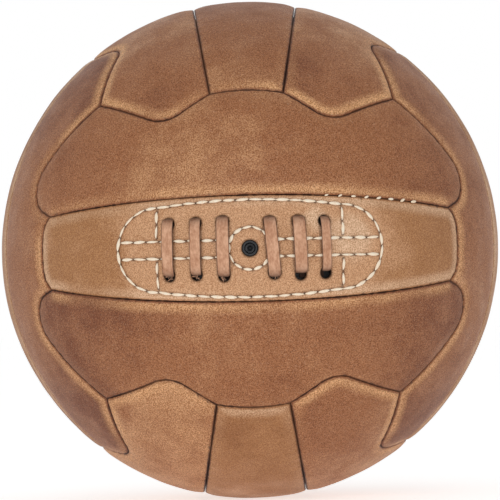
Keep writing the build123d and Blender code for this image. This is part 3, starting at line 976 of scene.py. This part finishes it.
def lace():
    """The strap's six bars, and the stretches behind the leather from one bar to the next."""
    noise.seed_set(5)
    bm = bmesh.new()
    bm.verts.layers.float.new("mark")
    ends = list(bar_ends())
    for bar in lace_bars:
        keys = []
        steps = [(bar.high, *step) for step in strap_path] + [(0, *strap_middle)]
        steps += [(bar.low, *step) for step in reversed(strap_path)]
        for end, rise, height, share, dark in steps:
            y = end * rise
            x = across_at(bar, y)
            side = front_turn(x, y) @ right
            keys.append((on_front(x, y, height * mm), side, bar.width * share, dark))
        strap(bm, keys, lace_thickness)
        if bar.across < frayed_up_to:
            frayed_end(bm, across_at(bar, bar.low_hole), bar.low_hole - tuft_below)
    for n in range(len(lace_bars) - 1):
        row = (n + 1) % 2
        one, other = Vector(ends[2 * n + row]), Vector(ends[2 * n + 2 + row])
        keys = []
        for share in (0.0, 0.33, 0.67, 1.0):
            x, y = one.lerp(other, share)
            side = front_turn(x, y) @ Vector((0, 1, 0))
            # the stretches behind the leather are painted fully dark, as shade in the holes
            keys.append((on_front(x, y, -lace_run_depth), side, lace_run_width, 1.0))
        strap(bm, keys, lace_run_thickness)
    bmesh.ops.holes_fill(bm, edges=[edge for edge in bm.edges if edge.is_boundary], sides=40)
    bmesh.ops.recalc_face_normals(bm, faces=bm.faces)
    return finished(bm, "lace_strap", "lace_leather", "lace")


def closing_stitches():
    """The hand stitches that closed the last seam, seen as small knots in its valley."""
    box_low, box_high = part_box("closing_stitches")
    before, after = closing_margins
    seam = even(strip_seam(True), 2000)
    first, last = [min(range(len(seam)), key=lambda n: abs(seam[n].x * ball - across))
                   for across in (box_low.x + before, box_high.x - after)]
    bm = bmesh.new()
    for n in range(closing_count):
        at = first + round((last - first) * n / (closing_count - 1))
        place = seam[at]
        ahead = (seam[at + 5] - place).normalized()
        up = place.cross(ahead)
        made = bmesh.ops.create_uvsphere(bm, u_segments=8, v_segments=6, radius=1.0)["verts"]
        size = 0.85 + 0.5 * n / (closing_count - 1)
        tilt = 0.3 + 0.25 * sin(n * 2.3)
        axis = (ahead * cos(tilt) + up * sin(tilt)).normalized()
        side = place.cross(axis)
        for vert in made:
            wide, high, long = [size * local * half
                                for local, half in zip(vert.co, closing_half_sizes)]
            vert.co = place * (ball - closing_depth + high) + axis * long + side * wide
    return finished(bm, "thread_closing", "thread", "closing_stitches")


# ---- valve
def turned_piece(name, outline, replaced):
    """A round piece on the valve's axis, from an outline of radius and height over its face."""
    bm = bmesh.new()
    face = ball - valve_recess
    verts = [bm.verts.new((r * mm, -(face + height * mm), 0)) for r, height in outline]
    edges = [bm.edges.new(pair) for pair in zip(verts, verts[1:])]
    bmesh.ops.spin(bm, geom=verts + edges, cent=(0, 0, 0), axis=(0, 1, 0), angle=2 * pi, steps=64,
                   use_merge=True, use_duplicate=False)
    bmesh.ops.remove_doubles(bm, verts=bm.verts, dist=0.005 * mm)
    bmesh.ops.recalc_face_normals(bm, faces=bm.faces)
    return finished(bm, name, "valve_rubber", replaced)


# ---- the ball
def strip_sides(long_side=plain_seam, ends=plain_seam):
    """The four seams of the front's upper side strip: below, above, left and right."""
    low = strip_seam(True)
    west = from_start(strip_end(left, ends), low[0])
    east = from_start(strip_end(right, ends), low[-1])
    return low, from_start(cusped_seam(front, top, long_side), west[-1]), west, east


def band_sides(ends=plain_seam):
    """The four seams of the front's band: below, above, left and right."""
    low, high = strip_seam(False), strip_seam(True)
    west, east = [edge_line(side, front, band_end(ends)) for side in (left, right)]
    return low, high, from_start(west, low[0]), from_start(east, low[-1])


def seams_of(face, strip):
    """The seams of a side strip that follow the laced face: its ends there, or its long side."""
    if face == "front":
        return {"ends": laced_seam}
    if face in ("left", "right") and strip == "front":
        return {"long_side": laced_seam}
    return {}


# wear and painted highlight of each panel: how far it has darkened from 0 to 1, how much more at
# its ends, and how pale its edges are beside the seams inside its face and beside those round the
# face, by rubbing and by a painted highlight on the seams' crowns
usual_wear_and_highlight = (0.45, 0.3, 1.0, 1.0)
wear_and_highlight = {
    "front_band": (0.3, 0.2, 1.0, 1.0), "front_upper": (0.36, 0.2, 1.0, 0.15),
    "front_lower": (0.52, 0.36, 1.0, 0.1), "top_band": (0.62, -0.27, 0.15, 1.3),
    "top_left": (0.3, 0.3, 0.25, 1.35), "top_right": (0.3, 0.3, 0.25, 1.35),
    "bottom_band": (0.4, 0.2, 0.3, 0.8), "bottom_left": (0.08, 0.12, 0.25, 1.2),
    "bottom_right": (0.25, 0.3, 0.25, 1.2), "left_band": (0.6, 0.3, 1.0, 1.0),
    "left_front": (0.55, 0.3, 1.0, 1.0), "right_front": (0.5, 0.3, 1.0, 1.0),
}
inner_finishes = {"felt": "felt", "bladder": "bladder_rubber", "backing": "patch_leather"}
seed = 0
for face, strips in strip_names.items():
    for low_side, strip in enumerate(strips):
        seed += 1
        sides = strip_sides(**seams_of(face, strip))
        panel(f"{face}_{strip}", "strip_leather", sides, face_turn(face, low_side), seed)
    seed += 1
    slot = "strip_leather" if face == "top" else "band_leather"
    if face == "front":
        sides = band_sides(laced_seam)
        panel("front_band", slot, sides, face_turn(face), seed, laced_cell, dress_window)
    else:
        panel(f"{face}_band", slot, band_sides(), face_turn(face), seed)
for name, (lines, pitch, length) in sewing.items():
    seed += 1
    stitch_row(name, lines, pitch, length, seed)
lace()
closing_stitches()
turned_piece("valve_ring", ring_outline, "valve_housing")
turned_piece("valve_plug", plug_outline, "valve_core")
for name, part in nodes.items():
    for start, slot in inner_finishes.items():
        if name.startswith(start):
            part.data.materials.clear()
            part.data.materials.append(finishes[slot])


# ---- room, light and camera
soft_light = 0.36  # what floor and surroundings give the ball
floor_seen = 0.6  # and what the camera sees of them
surroundings_seen = 1.0
floor_half_size = 6.0
floor_tone = (0.93, 0.93, 0.93, 1)
white = (1, 1, 1, 1)

# softboxes: place, power in watts, width and height
softboxes = {
    "front": ((-0.15, -1.35, 0.3), 5.6, 1.2, 0.9),
    "right": ((1.15, -0.75, 0.1), 1.1, 0.9, 1.2),
    "left": ((-1.15, -0.75, 0.1), 0.9, 0.9, 1.2),
    "top": ((0.0, -0.2, 1.3), 0.8, 1.6, 1.6),
}

camera_distance = 1.98
camera_lens = 321.0
camera_tilt, camera_roll = radians(0.4), radians(1.35)


def glow(tree, seen_strength):
    """A strength for what the camera sees, also in a mirror or through glass, and one for light."""
    paths = tree.nodes.new("ShaderNodeLightPath").outputs
    seen = math(tree, "MAXIMUM", paths["Is Camera Ray"], paths["Is Transmission Ray"])
    seen = math(tree, "MAXIMUM", seen, paths["Is Glossy Ray"])
    return ramp(tree, seen, 0.0, 1.0, soft_light, seen_strength)


def room():
    """A wide floor that the ball rests on."""
    bm = bmesh.new()
    bmesh.ops.create_grid(bm, x_segments=1, y_segments=1, size=floor_half_size)
    bmesh.ops.translate(bm, verts=bm.verts, vec=(0, 0, -ball))
    mesh = bpy.data.meshes.new("floor")
    bm.to_mesh(mesh)
    bm.free()
    floor = placed("floor", mesh)
    paint = bpy.data.materials.new("floor paint")
    paint.use_nodes = True
    tree = paint.node_tree
    surface = tree.nodes["Principled BSDF"].inputs
    surface["Base Color"].default_value = floor_tone
    surface["Roughness"].default_value = 0.9
    surface["Emission Color"].default_value = white
    tree.links.new(glow(tree, floor_seen), surface["Emission Strength"])
    floor.data.materials.append(paint)


def surroundings():
    """Even white light all round."""
    world = bpy.data.worlds.new("studio")
    scene.world = world
    world.use_nodes = True
    tree = world.node_tree
    sky = tree.nodes["Background"].inputs
    sky["Color"].default_value = white
    tree.links.new(glow(tree, surroundings_seen), sky["Strength"])


def aimed(name, data, place, turn):
    """Places a lamp or the camera, turned towards the ball."""
    made = placed(name, data)
    made.location = place
    made.rotation_mode = "QUATERNION"
    made.rotation_quaternion = turn
    return made


def softbox(name, place, power, width, height):
    """A rectangular lamp that faces the ball's centre."""
    data = bpy.data.lights.new(f"{name} softbox", "AREA")
    data.shape = "RECTANGLE"
    data.size, data.size_y = width, height
    data.energy = power
    aimed(f"{name} softbox", data, place, (-Vector(place)).to_track_quat("-Z", "Y"))


def camera():
    """A long lens in front of the valve, a little tilted and rolled."""
    turn = Matrix.Rotation(camera_tilt, 3, "X") @ Matrix.Rotation(camera_roll, 3, "Y")
    across, up, behind = turn.col[0], turn.col[2], -turn.col[1]
    data = bpy.data.cameras.new("camera")
    data.lens = camera_lens
    data.clip_start, data.clip_end = 0.01, 50.0
    facing = Matrix((across, up, behind)).transposed().to_quaternion()
    scene.camera = aimed("camera", data, behind * camera_distance, facing)


room()
surroundings()
for name, setting in softboxes.items():
    softbox(name, *setting)
camera()
scene.view_settings.view_transform = "Standard"
